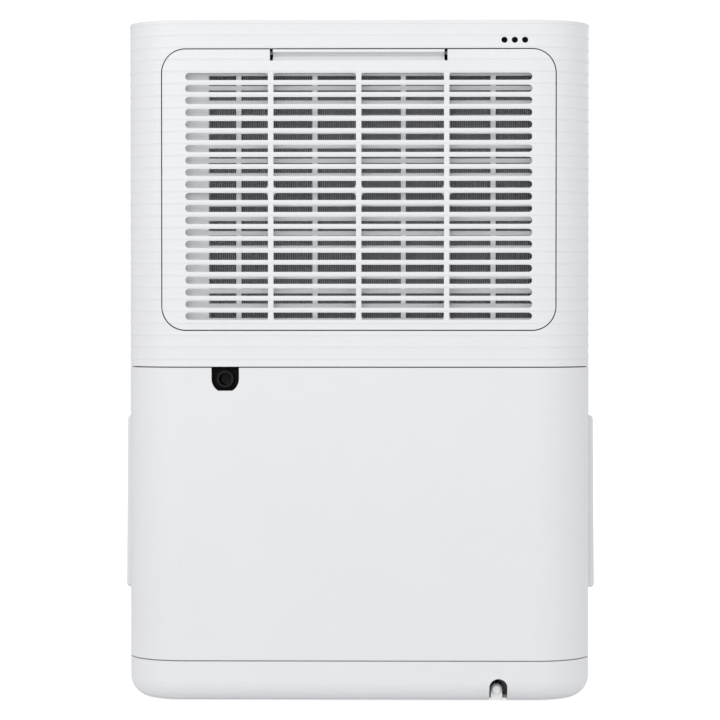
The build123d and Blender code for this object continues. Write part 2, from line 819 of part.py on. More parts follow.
# Drip tray with a sump for the drain outlet and a spout over the tank
tray_front = bulkhead_y - 1
tray_length = tray_rear - tray_front
sump_y = tray_rear - sump_length / 2
sump_bottom = drain_height - drain_radius
spout_width = 4 * spout_radius
spout_length = tray_front - spout_y + 4 * spout_radius
with BuildPart() as drip_tray:
    with BuildSketch(Plane.XY.offset(tray_bottom)):
        with Locations((0, (tray_front + tray_rear) / 2)):
            Rectangle(2 * tray_half_width, tray_length)
    extrude(amount=tray_height)
    with BuildSketch(Plane.XY.offset(sump_bottom)):
        with Locations((drain_x, sump_y)):
            Rectangle(2 * sump_half_width, sump_length)
    extrude(amount=tray_bottom - sump_bottom)
    with BuildSketch(Plane.XY.offset(tray_bottom)):
        with Locations((0, (spout_y + tray_front) / 2)):
            Rectangle(spout_width, spout_length)
    extrude(amount=tray_height - 8)
    with BuildSketch(Plane.XY.offset(tray_bottom - spout_drop)):
        with Locations((0, spout_y)):
            Circle(spout_radius)
    extrude(amount=spout_drop)
    with BuildSketch(Plane.XY.offset(tray_floor)):
        with Locations((0, (tray_front + tray_rear) / 2)):
            Rectangle(2 * (tray_half_width - tray_wall), tray_length - 2 * tray_wall)
    extrude(amount=tray_height, mode=Mode.SUBTRACT)
    with BuildSketch(Plane.XY.offset(tray_floor)):
        with Locations((0, (spout_y + tray_front) / 2)):
            Rectangle(spout_width - 2 * tray_wall, spout_length - 2 * tray_wall)
    extrude(amount=tray_height, mode=Mode.SUBTRACT)
    with BuildSketch(Plane.XY.offset(tray_bottom - spout_drop)):
        with Locations((0, spout_y)):
            Circle(spout_radius - 1.5)
    extrude(amount=spout_drop + tray_height, mode=Mode.SUBTRACT)
    with BuildSketch(Plane.XY.offset(sump_bottom + tray_wall)):
        with Locations((drain_x, sump_y)):
            Rectangle(2 * (sump_half_width - tray_wall), sump_length - 2 * tray_wall)
    extrude(amount=tray_floor - sump_bottom, mode=Mode.SUBTRACT)
    with BuildSketch(facing_front(tray_rear)):
        with Locations((drain_x, drain_height)):
            Circle(spigot_radius + running)
    extrude(amount=tray_wall, mode=Mode.SUBTRACT)

# Drain outlet: dark cup behind the panel opening, with a spigot for a hose
spigot_end = half_depth - lower_inset - spigot_recess
with BuildPart() as drain_outlet:
    with BuildSketch(facing_front(panel_rear_face)):
        drain_profile(2)
    extrude(amount=cup_depth)
    with BuildSketch(facing_front(panel_rear_face)):
        drain_profile(0)
    extrude(amount=cup_depth - 2, mode=Mode.SUBTRACT)
    with BuildSketch(facing_front(spigot_end)):
        with Locations((drain_x, drain_height)):
            Circle(spigot_radius)
    extrude(amount=spigot_end - tray_rear + tray_wall + 6)
    with BuildSketch(facing_front(spigot_end)):
        with Locations((drain_x, drain_height)):
            Circle(spigot_bore)
    extrude(amount=spigot_end - tray_rear + tray_wall + 6, mode=Mode.SUBTRACT)

# Fan: orifice plate, spiral casing, wheel, shaft, motor and bracket
with BuildPart() as fan_plate:
    with BuildSketch(facing_front(fan_plate_rear)):
        with Locations((0, (tray_floor + coil_top) / 2)):
            Rectangle(2 * (tray_half_width - tray_wall - 2), coil_top - tray_floor)
        with Locations((fan_x, fan_height)):
            Circle(inlet_radius, mode=Mode.SUBTRACT)
    extrude(amount=plate_thickness)

with BuildPart() as fan_scroll:
    with BuildSketch(facing_front(scroll_rear)):
        scroll_profile(scroll_wall)
    extrude(amount=scroll_width)
    with BuildSketch(facing_front(scroll_rear)):
        scroll_profile(0)
    extrude(amount=scroll_width - scroll_wall, mode=Mode.SUBTRACT)
    with BuildSketch(facing_front(scroll_rear)):
        with Locations((fan_x, fan_height)):
            Circle(3 * shaft_radius)
    extrude(amount=scroll_width, mode=Mode.SUBTRACT)

fan_front = scroll_front + scroll_wall + 3
with BuildPart() as fan_wheel:
    with BuildSketch(facing_front(fan_front + 2.5)):
        with Locations((fan_x, fan_height)):
            Circle(fan_radius)
    extrude(amount=2.5)
    with BuildSketch(facing_front(fan_front + fan_width)):
        with Locations((fan_x, fan_height)):
            Circle(fan_radius)
            Circle(fan_radius - fan_blade_depth, mode=Mode.SUBTRACT)
    extrude(amount=2.5)
    with BuildSketch(facing_front(fan_front + fan_width)):
        with Locations((fan_x, fan_height)):
            with PolarLocations(fan_radius - fan_blade_depth / 2, fan_blades):
                Rectangle(fan_blade_depth - 1.5, 1.4, rotation=28)
    extrude(amount=fan_width)
    with BuildSketch(facing_front(fan_front + 17)):
        with Locations((fan_x, fan_height)):
            Circle(2.25 * shaft_radius)
    extrude(amount=17)
    with BuildSketch(facing_front(fan_front + fan_width)):
        with Locations((fan_x, fan_height)):
            Circle(shaft_radius + running)
    extrude(amount=fan_width + 1, mode=Mode.SUBTRACT)

motor_rear = bracket_front
with BuildPart() as fan_shaft:
    with BuildSketch(facing_front(fan_front + 17)):
        with Locations((fan_x, fan_height)):
            Circle(shaft_radius)
    extrude(amount=fan_front + 17 - motor_rear + 0.7 * motor_length)

with BuildPart() as motor_bracket:
    with BuildSketch(facing_front(scroll_front)):
        with Locations((fan_x, fan_height)):
            Circle(motor_radius + 12)
            Circle(3 * shaft_radius, mode=Mode.SUBTRACT)
    extrude(amount=scroll_wall)

with BuildPart() as fan_motor:
    with BuildSketch(facing_front(motor_rear)):
        with Locations((fan_x, fan_height)):
            Circle(motor_radius)
    extrude(amount=motor_length)
    fillet(fan_motor.edges().group_by(Axis.Y)[0], radius=6)
    with BuildSketch(facing_front(motor_rear)):
        with Locations((fan_x, fan_height)):
            Circle(shaft_radius + running)
    extrude(amount=0.8 * motor_length, mode=Mode.SUBTRACT)

# Outlet duct from the casing to the top cover, with a finger guard
duct_middle_y = scroll_rear - scroll_width / 2
duct_left = fan_x + tongue_x
duct_right = fan_x + scroll_start + scroll_growth
with BuildPart() as outlet_duct:
    for grow, mode in ((scroll_wall, Mode.ADD), (0, Mode.SUBTRACT)):
        with BuildSketch(Plane.XY.offset(scroll_top)):
            with Locations(((duct_left + duct_right) / 2, duct_middle_y)):
                Rectangle(duct_right - duct_left + 2 * grow, scroll_width - 2 * scroll_wall + 2 * grow)
        with BuildSketch(Plane.XY.offset(upper_top - duct_straight)):
            Rectangle(2 * (outlet_half_width + 2 + grow), 2 * (outlet_half_depth + 2 + grow))
        loft(mode=mode)
        with BuildSketch(Plane.XY.offset(upper_top - duct_straight)):
            Rectangle(2 * (outlet_half_width + 2 + grow), 2 * (outlet_half_depth + 2 + grow))
        extrude(amount=duct_straight, mode=mode)

with BuildPart() as outlet_guard:
    with BuildSketch(Plane.XY.offset(upper_top - duct_straight + 1.5)):
        Rectangle(2 * (outlet_half_width + 2 - slip), 2 * (outlet_half_depth + 2 - slip))
        Rectangle(2 * (outlet_half_width - 1), 2 * (outlet_half_depth - 1), mode=Mode.SUBTRACT)
        with GridLocations(0, 2 * outlet_half_depth / guard_vanes, 1, guard_vanes):
            Rectangle(2 * outlet_half_width, 1.4)
        with GridLocations(outlet_half_width / 2, 0, 5, 1):
            Rectangle(1.6, 2 * outlet_half_depth)
    extrude(amount=guard_height)

# Top cover: flat lid with a rim, outlet, control recess and board posts
post_x = panel_half_width - panel_ledge - board_post_radius - 2
post_y = panel_depth / 2 - panel_ledge + board_post_radius + 0.5
with BuildPart() as top_cover:
    with BuildSketch(Plane.XY.offset(upper_top)):
        outline(0)
    extrude(amount=lid_edge)
    fillet(top_cover.edges().group_by(Axis.Z)[-1], radius=lid_round)
    with BuildSketch(Plane.XY.offset(upper_top - 8)):
        outline(upper_inner + slip)
        outline(upper_inner + slip + 2, Mode.SUBTRACT)
    extrude(amount=8)
    with BuildSketch(Plane.XY.offset(upper_top - board_post)):
        with Locations((0, panel_y)):
            with GridLocations(2 * post_x, 2 * post_y, 2, 2):
                Circle(board_post_radius)
    extrude(amount=board_post)
    with BuildSketch(Plane.XY.offset(upper_top)):
        Rectangle(2 * outlet_half_width, 2 * outlet_half_depth)
        with Locations((0, panel_y)):
            RectangleRounded(2 * (panel_half_width - panel_ledge), panel_depth - 2 * panel_ledge, 4)
    extrude(amount=lid_edge, mode=Mode.SUBTRACT)
    with BuildSketch(Plane.XY.offset(panel_seat)):
        with Locations((0, panel_y)):
            RectangleRounded(2 * panel_half_width, panel_depth, 8)
    extrude(amount=panel_thickness, mode=Mode.SUBTRACT)
    with BuildSketch(Plane.YZ.offset(-outlet_half_width - louver_pin_length)):
        with Locations((louver_axis_y, louver_axis_z)):
            Circle(louver_pin + running)
    extrude(amount=2 * (outlet_half_width + louver_pin_length), mode=Mode.SUBTRACT)

with BuildPart() as outlet_louver:
    louver_rear = louver_axis_y + 1.2
    louver_front = -outlet_half_depth + 0.7
    with BuildSketch(Plane.XY.offset(louver_axis_z - louver_thickness / 2)):
        with Locations((0, (louver_rear + louver_front) / 2)):
            Rectangle(2 * (outlet_half_width - 0.7), louver_rear - louver_front)
    extrude(amount=louver_thickness)
    with BuildSketch(Plane.XY.offset(louver_axis_z + louver_thickness / 2)):
        with Locations((0, (louver_rear + louver_front) / 2)):
            with GridLocations(0, louver_groove_pitch, 1, louver_grooves):
                Rectangle(2 * (outlet_half_width - louver_groove_end), louver_groove_width)
    extrude(amount=-louver_groove_depth, mode=Mode.SUBTRACT)
    with BuildSketch(Plane.YZ.offset(-outlet_half_width - louver_pin_length + 0.3)):
        with Locations((louver_axis_y, louver_axis_z)):
            Circle(louver_pin)
    extrude(amount=2 * (outlet_half_width + louver_pin_length - 0.3))

# Control panel in the recess, with display, lamps, buttons, board and switches
with BuildPart() as control_panel:
    with BuildSketch(Plane.XY.offset(panel_seat)):
        with Locations((0, panel_y)):
            RectangleRounded(2 * (panel_half_width - slip), panel_depth - 2 * slip, 8 - slip)
        for place in button_x.values():
            with Locations((place, button_y)):
                Circle(button_radius + button_gap, mode=Mode.SUBTRACT)
            with Locations((place, lamp_y)):
                Circle(lamp_radius + running, mode=Mode.SUBTRACT)
    extrude(amount=panel_thickness)
    with BuildSketch(Plane.XY.offset(body_height - display_thickness)):
        with Locations((0, panel_y)):
            RectangleRounded(display_width, display_depth, 3)
    extrude(amount=display_thickness, mode=Mode.SUBTRACT)

with BuildPart() as display_window:
    with BuildSketch(Plane.XY.offset(body_height - display_thickness)):
        with Locations((0, panel_y)):
            RectangleRounded(display_width - 2 * slip, display_depth - 2 * slip, 3 - slip)
    extrude(amount=display_thickness)

with BuildPart() as indicator_lamps:
    with BuildSketch(Plane.XY.offset(panel_seat)):
        for place in button_x.values():
            with Locations((place, lamp_y)):
                Circle(lamp_radius)
    extrude(amount=panel_thickness)

board_top = upper_top - board_post
with BuildPart() as control_board:
    with BuildSketch(Plane.XY.offset(board_top - board_thickness)):
        with Locations((0, panel_y)):
            Rectangle(2 * panel_half_width - 4, panel_depth + 6)
    extrude(amount=board_thickness)
    for place in button_x.values():
        with BuildSketch(Plane.XY.offset(board_top)):
            with Locations((place, button_y)):
                Rectangle(6, 6)
        extrude(amount=switch_height - 0.8)
        with BuildSketch(Plane.XY.offset(board_top)):
            with Locations((place, button_y)):
                Circle(1.7)
        extrude(amount=switch_height)

stem_bottom = board_top + switch_height + button_travel + 0.1
buttons = {}
for button_name, place in button_x.items():
    with BuildPart() as button:
        with BuildSketch(Plane.XY.offset(panel_seat)):
            with Locations((place, button_y)):
                Circle(button_radius)
        extrude(amount=panel_thickness + 0.6)
        fillet(button.edges().group_by(Axis.Z)[-1], radius=0.6)
        with BuildSketch(Plane.XY.offset(panel_seat - 1.2)):
            with Locations((place, button_y)):
                Circle(button_radius + 1)
        extrude(amount=1.2)
        with BuildSketch(Plane.XY.offset(stem_bottom)):
            with Locations((place, button_y)):
                Circle(2)
        extrude(amount=panel_seat - stem_bottom)
    buttons[button_name] = button

# Humidity sensor: dark block behind the three holes
with BuildPart() as humidity_sensor:
    with BuildSketch(facing_front(rear_face)):
        with Locations((sensor_x, sensor_height - 0.5)):
            Rectangle(2 * sensor_pitch + 4 * sensor_hole + 4, 6.8)
    extrude(amount=9)
    with BuildSketch(facing_front(rear_face)):
        with Locations((sensor_x, sensor_height)):
            with GridLocations(sensor_pitch, 0, 3, 1):
                Circle(sensor_hole)
    extrude(amount=5, mode=Mode.SUBTRACT)

# Bulkhead between tank bay and compressor bay, and the deck the tank slides on
bulkhead_half = half_width - 8.5
return_length = side_split + 4
with BuildPart() as bulkhead:
    with BuildSketch(facing_front(bulkhead_y + bulkhead_thickness)):
        with Locations((0, (floor_top + tray_bottom) / 2)):
            Rectangle(2 * (half_width - 21), tray_bottom - floor_top)
        with Locations((0, (lower_bottom + tray_bottom) / 2)):
            Rectangle(2 * bulkhead_half, tray_bottom - lower_bottom)
    extrude(amount=bulkhead_thickness)
    with BuildSketch(Plane.XY.offset(lower_bottom)):
        for side in (1, -1):
            return_x = side * (bulkhead_half - bulkhead_thickness / 2)
            with Locations((return_x, bulkhead_y + return_length / 2)):
                Rectangle(bulkhead_thickness, return_length)
    extrude(amount=tray_bottom - lower_bottom)

deck_inset = lower_inset + base_edge_radius + 1
with BuildPart() as tank_deck:
    with BuildSketch(Plane.XY.offset(floor_top)):
        outline(deck_inset)
        keep_before(bulkhead_y)
    extrude(amount=base_top - floor_top)
    with BuildSketch(Plane.XY.offset(floor_top)):
        outline(deck_inset + deck_wall)
        keep_before(bulkhead_y - deck_wall)
    extrude(amount=base_top - floor_top - deck_wall, mode=Mode.SUBTRACT)

# Water tank: bucket, front cover with side grips, window, lid and float
with BuildPart() as water_tank:
    with BuildSketch(Plane.XY.offset(bucket_bottom)):
        outline(bucket_inset)
        keep_before(bucket_rear)
    extrude(amount=tank_rim - bucket_bottom)
    with BuildSketch(Plane.XY.offset(bucket_bottom + bucket_wall)):
        outline(bucket_inset + bucket_wall)
        keep_before(bucket_rear - bucket_wall)
    extrude(amount=tank_rim - bucket_bottom, mode=Mode.SUBTRACT)
    ear_start = float_width / 2 + 3
    for side in (1, -1):
        with BuildSketch(Plane.YZ.offset(float_x + side * ear_start)):
            with Locations((float_pivot_y, float_pivot_height)):
                Circle(2.5 * float_pin)
            with Locations(((float_pivot_y + bucket_rear - bucket_wall + 0.2) / 2, float_pivot_height)):
                Rectangle(bucket_rear - bucket_wall + 0.2 - float_pivot_y, 5 * float_pin)
            with Locations((float_pivot_y, float_pivot_height)):
                Circle(float_pin + running, mode=Mode.SUBTRACT)
        extrude(amount=side * 3)

with BuildPart() as tank_front:
    with BuildSketch(Plane.XY.offset(lower_bottom)):
        outline(lower_inset)
        outline(lower_inner, Mode.SUBTRACT)
        keep_before(side_split - seam / 2)
    extrude(amount=lower_top - lower_bottom)
    side_face = half_width - lower_inset
    grip_rear = side_split - seam / 2 - 1
    for side in (1, -1):
        with BuildSketch(Plane.XY.offset(grip_bottom)):
            with BuildLine():
                Polyline(
                    (side * (side_face - 1), grip_rear),
                    (side * (side_face + grip_proud_bottom), grip_rear),
                    (side * (side_face + grip_proud_bottom), grip_rear - 10),
                    (side * (side_face - 1), grip_rear - grip_length),
                    close=True,
                )
            make_face()
        with BuildSketch(Plane.XY.offset(grip_top)):
            with BuildLine():
                Polyline(
                    (side * (side_face - 1), grip_rear),
                    (side * (side_face + grip_proud_top), grip_rear),
                    (side * (side_face + grip_proud_top), grip_rear - 10),
                    (side * (side_face - 1), grip_rear - grip_length),
                    close=True,
                )
            make_face()
        loft(ruled=True)
    outer_edges = [
        edge
        for edge in tank_front.edges()
        if abs(edge.center().X) > side_face + 1
    ]
    fillet(outer_edges, radius=grip_corner)
    with BuildSketch(facing_front(-half_depth + lower_inner + 1)):
        with Locations((window_x, (window_bottom + window_top) / 2)):
            RectangleRounded(window_width, window_top - window_bottom, 5)
    extrude(amount=lower_inner + 2, mode=Mode.SUBTRACT)

with BuildPart() as tank_window:
    with BuildSketch(facing_front(-half_depth + lower_inner)):
        with Locations((window_x, (window_bottom + window_top) / 2)):
            RectangleRounded(window_width - 2 * slip, window_top - window_bottom - 2 * slip, 5 - slip)
    extrude(amount=wall - 0.4)

fill_right = half_width - fill_side
fill_low = fill_front - half_depth
fill_high = -fill_rear
with BuildPart() as tank_lid:
    with BuildSketch(Plane.XY.offset(tank_rim)):
        outline(bucket_inset)
        keep_before(bucket_rear)
        with Locations((0, spout_y)):
            Rectangle(60, 40, mode=Mode.SUBTRACT)
        with Locations(((fill_left + fill_right) / 2, (fill_low + fill_high) / 2)):
            RectangleRounded(fill_right - fill_left, fill_high - fill_low, 10, mode=Mode.SUBTRACT)
    extrude(amount=lid_thickness)

with BuildPart() as float_lever:
    with BuildSketch(Plane.XY.offset(float_pivot_height - 2)):
        with Locations((float_x, float_pivot_y - float_arm / 2 + 5)):
            Rectangle(float_width, float_arm + 10)
    extrude(amount=4)
    with BuildSketch(Plane.YZ.offset(float_x - ear_start - 2.7)):
        with Locations((float_pivot_y, float_pivot_height)):
            Circle(float_pin)
    extrude(amount=2 * ear_start + 5.4)

with BuildPart() as float_block:
    with BuildSketch(Plane.XY.offset(float_pivot_height - 20)):
        with Locations((float_x, float_pivot_y - float_arm + 18)):
            RectangleRounded(34, 36, 6)
    extrude(amount=18)

with BuildPart() as float_magnet:
    with BuildSketch(Plane.XY.offset(float_pivot_height + 2)):
        with Locations((float_x, float_pivot_y + 4)):
            Circle(3.5)
    extrude(amount=4)

with BuildPart() as float_sensor:
    with BuildSketch(facing_front(bulkhead_y + bulkhead_thickness + 6)):
        with Locations((float_x, float_pivot_height + 3)):
            Rectangle(20, 14)
    extrude(amount=6)

# Compressor on rubber mounts, with accumulator, pipes and capacitor
with BuildPart() as compressor:
    with BuildSketch(Plane.XY.offset(compressor_bottom)):
        with Locations((compressor_x, compressor_y)):
            Circle(compressor_radius)
    extrude(amount=compressor_height)
    fillet(compressor.edges().group_by(Axis.Z)[-1], radius=compressor_dome)
    with BuildSketch(Plane.XY.offset(seat_height)):
        with Locations((compressor_x, compressor_y)):
            Circle(compressor_radius - 4)
            with PolarLocations(foot_circle, 3):
                Circle(mount_radius)
            with PolarLocations(foot_circle / 2, 3):
                Rectangle(foot_circle, 2 * mount_radius)
            with PolarLocations(foot_circle, 3):
                Circle(stud_radius + slip, mode=Mode.SUBTRACT)
    extrude(amount=mount_plate)
    with BuildSketch(Plane.XY.offset(compressor_bottom)):
        with Locations((compressor_x, compressor_y)):
            with PolarLocations(foot_circle, 3):
                Circle(mount_radius - 0.5)
    extrude(amount=nut_height + 6, mode=Mode.SUBTRACT)

with BuildPart() as rubber_mounts:
    with BuildSketch(Plane.XY.offset(mount_bottom)):
        with Locations((compressor_x, compressor_y)):
            with PolarLocations(foot_circle, 3):
                Circle(mount_radius)
            with PolarLocations(foot_circle, 3):
                Circle(stud_radius + slip, mode=Mode.SUBTRACT)
    extrude(amount=mount_height)

with BuildPart() as mount_bolts:
    with BuildSketch(Plane.XY.offset(mount_bottom)):
        with Locations((compressor_x, compressor_y)):
            with PolarLocations(foot_circle, 3):
                Circle(stud_radius)
    extrude(amount=mount_height + mount_plate + nut_height + 2)
    with BuildSketch(Plane.XY.offset(compressor_bottom)):
        with Locations((compressor_x, compressor_y)):
            with PolarLocations(foot_circle, 3):
                RegularPolygon(5.5, 6)
    extrude(amount=nut_height)

strap_height = 16.0
with BuildPart() as accumulator:
    with BuildSketch(Plane.XY.offset(accumulator_bottom)):
        with Locations((accumulator_x, compressor_y)):
            Circle(accumulator_radius)
    extrude(amount=accumulator_top - accumulator_bottom)
    fillet(accumulator.edges().filter_by(GeomType.CIRCLE), radius=6)
    with BuildSketch(Plane.XY.offset((accumulator_bottom + accumulator_top - strap_height) / 2)):
        with Locations(((accumulator_x + compressor_x) / 2, compressor_y)):
            Rectangle(accumulator_x - compressor_x, 12)
        with Locations((compressor_x, compressor_y)):
            Circle(compressor_radius + running, mode=Mode.SUBTRACT)
    extrude(amount=strap_height)

with BuildPart() as suction_pipe:
    add(
        tube(
            [
                (accumulator_x, compressor_y, accumulator_top),
                (accumulator_x, compressor_y, suction_run),
                (pipe_run_x, evaporator_tube_y, suction_run),
                (pipe_run_x, evaporator_tube_y, first_row_z),
                (coil_end, evaporator_tube_y, first_row_z),
            ],
            tube_radius,
            pipe_bend,
        )
    )

discharge_x = compressor_x - compressor_radius / 3
with BuildPart() as discharge_pipe:
    add(
        tube(
            [
                (discharge_x, compressor_y, compressor_top),
                (discharge_x, compressor_y, discharge_run),
                (pipe_run_x, condenser_tube_y, discharge_run),
                (pipe_run_x, condenser_tube_y, last_row_z),
                (coil_end, condenser_tube_y, last_row_z),
            ],
            tube_radius,
            pipe_bend,
        )
    )

with BuildPart() as filter_drier:
    with BuildSketch(Plane.XY.offset(drier_bottom)):
        with Locations((drier_x, condenser_tube_y)):
            Circle(drier_radius)
    extrude(amount=drier_top - drier_bottom)
    fillet(filter_drier.edges().filter_by(GeomType.CIRCLE), radius=3)
    add(
        tube(
            [
                (coil_end, condenser_tube_y, first_row_z),
                (drier_x, condenser_tube_y, first_row_z),
                (drier_x, condenser_tube_y, drier_bottom + 2),
            ],
            tube_radius - 1,
            6,
        )
    )

with BuildPart() as capillary_tube:
    add(
        tube(
            [
                (drier_x, condenser_tube_y, drier_top),
                (drier_x, condenser_tube_y, drier_top + 0.38 * capillary_rise),
                (drier_x, evaporator_tube_y, drier_top + 0.64 * capillary_rise),
                (drier_x, evaporator_tube_y, last_row_z),
                (coil_end, evaporator_tube_y, last_row_z),
            ],
            capillary_radius,
            7,
        )
    )

with BuildPart() as run_capacitor:
    with BuildSketch(Plane.XY.offset(floor_top)):
        with Locations((capacitor_x, capacitor_y)):
            Circle(capacitor_radius)
    extrude(amount=capacitor_height)
    fillet(run_capacitor.edges().group_by(Axis.Z)[-1], radius=2)
    with BuildSketch(Plane.XY.offset(floor_top + capacitor_height)):
        with Locations((capacitor_x, capacitor_y)):
            with GridLocations(14, 0, 2, 1):
                Rectangle(6.3, 0.8)
    extrude(amount=9)

# Electronics box behind the front wall
box_front_y = -rear_face
box_open_y = box_front_y + box_depth
box_middle = box_bottom + box_height / 2
with BuildPart() as electronics_box:
    with BuildSketch(facing_front(box_open_y)):
        with Locations((box_x, box_middle)):
            Rectangle(box_width, box_height)
    extrude(amount=box_depth)
    with BuildSketch(facing_front(box_open_y)):
        with Locations((box_x, box_middle)):
            Rectangle(box_width - 2 * box_wall, box_height - 2 * box_wall)
    extrude(amount=box_depth - box_wall, mode=Mode.SUBTRACT)
    with BuildSketch(facing_front(box_front_y + box_wall + standoff)):
        with Locations((box_x, box_middle)):
            with GridLocations(box_width - 20, box_height - 20, 2, 2):
                Circle(3)
    extrude(amount=standoff)

with BuildPart() as box_cover:
    with BuildSketch(facing_front(box_open_y + box_wall)):
        with Locations((box_x, box_middle)):
            Rectangle(box_width, box_height)
    extrude(amount=box_wall)

power_board_y = box_front_y + box_wall + standoff + board_thickness
with BuildPart() as power_board:
    with BuildSketch(facing_front(power_board_y)):
        with Locations((box_x, box_middle)):
            Rectangle(box_width - 8, box_height - 8)
    extrude(amount=board_thickness)
    for place, tall, wide, high in ((-20, 22, 20, 18), (12, 30, 26, 16), (32, 20, 12, 14)):
        with BuildSketch(facing_front(power_board_y + high)):
            with Locations((box_x + place, box_middle + tall)):
                Rectangle(wide, 24)
        extrude(amount=high)
    with BuildSketch(facing_front(power_board_y + 18)):
        with Locations((box_x - 24, box_middle - 26)):
            with GridLocations(18, 0, 2, 1):
                Circle(7)
    extrude(amount=18)

pieces = {
    "base_tray": base_tray,
    "rubber_feet": rubber_feet,
    "cord_gland": cord_gland,
    "rear_panel": rear_panel,
    "panel_screws": panel_screws,
    "rear_housing": rear_housing,
    "front_housing": front_housing,
    "inlet_grille": inlet_grille,
    "filter_frame": filter_frame,
    "filter_mesh": filter_mesh,
    "evaporator_fins": evaporator_fins,
    "evaporator_bends": evaporator_bends,
    "condenser_fins": condenser_fins,
    "condenser_bends": condenser_bends,
    "coil_plates": coil_plates,
    "drip_tray": drip_tray,
    "drain_outlet": drain_outlet,
    "fan_plate": fan_plate,
    "fan_scroll": fan_scroll,
    "fan_wheel": fan_wheel,
    "fan_shaft": fan_shaft,
    "motor_bracket": motor_bracket,
    "fan_motor": fan_motor,
    "outlet_duct": outlet_duct,
    "outlet_guard": outlet_guard,
    "top_cover": top_cover,
    "outlet_louver": outlet_louver,
    "control_panel": control_panel,
    "display_window": display_window,
    "indicator_lamps": indicator_lamps,
    "control_board": control_board,
    "humidity_sensor": humidity_sensor,
    "bulkhead": bulkhead,
    "tank_deck": tank_deck,
    "water_tank": water_tank,
    "tank_front": tank_front,
    "tank_window": tank_window,
    "tank_lid": tank_lid,
    "float_lever": float_lever,
    "float_block": float_block,
    "float_magnet": float_magnet,
    "float_sensor": float_sensor,
    "compressor": compressor,
    "rubber_mounts": rubber_mounts,
    "mount_bolts": mount_bolts,
    "accumulator": accumulator,
    "suction_pipe": suction_pipe,
    "discharge_pipe": discharge_pipe,
    "filter_drier": filter_drier,
    "capillary_tube": capillary_tube,
    "run_capacitor": run_capacitor,
    "electronics_box": electronics_box,
    "box_cover": box_cover,
    "power_board": power_board,
}
pieces.update(buttons)
for name, piece in pieces.items():
    piece.part.label = name
    export_step(piece.part, f"parts/{name}.step")
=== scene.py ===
# %% [markdown]
# # A dehumidifier, seen from behind
# The machine is already built as named solids that share one frame, in metres: +Z is up, the
# back with the air inlet faces +Y, and the tank slides out towards -Y. This lesson dresses those
# solids. It sets the camera and the light, writes each finish as arithmetic on the surface, and
# models the one piece that is too fine for the solids: the net in the air filter.

# %% Load the solids and clear the start-up scene
import json
import math

import bpy
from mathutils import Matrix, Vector

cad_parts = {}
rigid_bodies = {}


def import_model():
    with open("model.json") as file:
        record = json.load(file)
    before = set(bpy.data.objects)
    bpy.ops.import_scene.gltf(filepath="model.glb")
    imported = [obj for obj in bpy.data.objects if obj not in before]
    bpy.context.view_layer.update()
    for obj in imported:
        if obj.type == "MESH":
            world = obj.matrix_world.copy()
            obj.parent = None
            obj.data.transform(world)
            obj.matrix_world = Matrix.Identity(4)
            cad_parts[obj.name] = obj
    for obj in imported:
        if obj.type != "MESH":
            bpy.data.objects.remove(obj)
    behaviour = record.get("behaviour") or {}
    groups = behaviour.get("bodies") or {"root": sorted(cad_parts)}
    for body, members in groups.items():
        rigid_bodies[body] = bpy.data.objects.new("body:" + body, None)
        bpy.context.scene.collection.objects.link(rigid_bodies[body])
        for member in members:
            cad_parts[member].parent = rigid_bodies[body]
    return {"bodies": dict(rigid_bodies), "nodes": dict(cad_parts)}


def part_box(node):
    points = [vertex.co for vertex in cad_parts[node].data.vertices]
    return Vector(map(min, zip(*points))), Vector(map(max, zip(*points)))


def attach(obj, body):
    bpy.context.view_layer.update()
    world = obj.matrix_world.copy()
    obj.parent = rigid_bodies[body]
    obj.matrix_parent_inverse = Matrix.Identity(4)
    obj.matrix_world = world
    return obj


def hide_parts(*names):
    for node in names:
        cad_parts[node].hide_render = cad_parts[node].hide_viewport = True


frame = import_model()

nodes = frame["nodes"]
loaded = set(nodes.values()) | set(frame["bodies"].values())
for leftover in [thing for thing in bpy.data.objects if thing not in loaded]:
    bpy.data.objects.remove(leftover)
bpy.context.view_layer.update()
MM = 0.001

# %% [markdown]
# ## Camera
# The picture to match is taken from behind, a little to one side and from slightly above the
# middle, with a long lens, so the upright edges stay almost parallel. A camera could be placed by
# eye, but here its place was worked out from edges whose true size is known: the body's two
# sides, its top and the waist seam. The camera points at the middle of the rear face.

# %% Place the camera
bpy.ops.object.select_all(action="DESELECT")
camera_place = Vector((-0.0283, 2.1821, 0.2862))
camera_target = Vector((-0.0010, 0.12, 0.2518))
bpy.ops.object.camera_add(location=camera_place)
camera = bpy.context.object
camera.name = "photo_camera"
camera.rotation_euler = (camera_target - camera_place).to_track_quat("-Z", "Y").to_euler()
camera.data.sensor_width = 36.0
camera.data.lens = 140.85
bpy.context.scene.camera = camera
bpy.context.scene.view_settings.view_transform = "Standard"
print("camera at", [round(value, 3) for value in camera.location], "lens", camera.data.lens)

# %% [markdown]
# ## Shader arithmetic
# A finish is a small calculation made at every point of a surface. Wiring Math nodes one by one
# hides that, so a value that varies over the surface gets a class of its own. Python's operators
# then add the nodes: `0.4 + 0.1 * grain` reads as what it means. The operators also work from the
# right, so that `1 - mask` is allowed. Everything else goes through one method, `node`.


